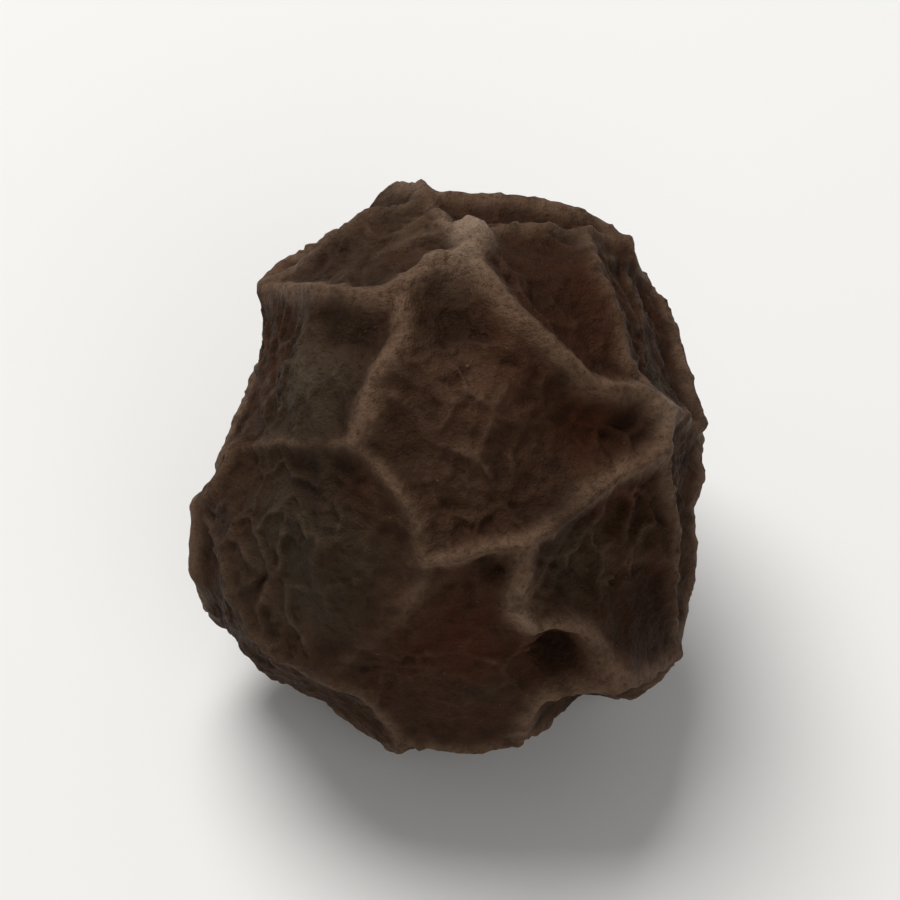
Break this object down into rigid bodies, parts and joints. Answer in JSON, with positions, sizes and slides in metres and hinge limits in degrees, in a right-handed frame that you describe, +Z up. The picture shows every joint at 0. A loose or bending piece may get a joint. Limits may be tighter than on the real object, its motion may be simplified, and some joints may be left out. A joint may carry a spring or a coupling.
{
  "type": "black peppercorn",
  "caption": "Dried black peppercorn: a dark round berry covered in a raised net of pinched wrinkles, resting on its small flat stalk scar.",
  "frame": {"origin": "middle of the flat stalk scar on which the berry rests", "axes": "+Z up, from the stalk scar to the flower end; the side with the net laid out from the picture looks towards -Y and up"},
  "size_m": [0.0047, 0.0049, 0.0049],
  "materials": {
    "dried_skin": "matte"
  },
  "bodies": {
    "root": {"peppercorn": "dried_skin"}
  },
  "joints": []
}
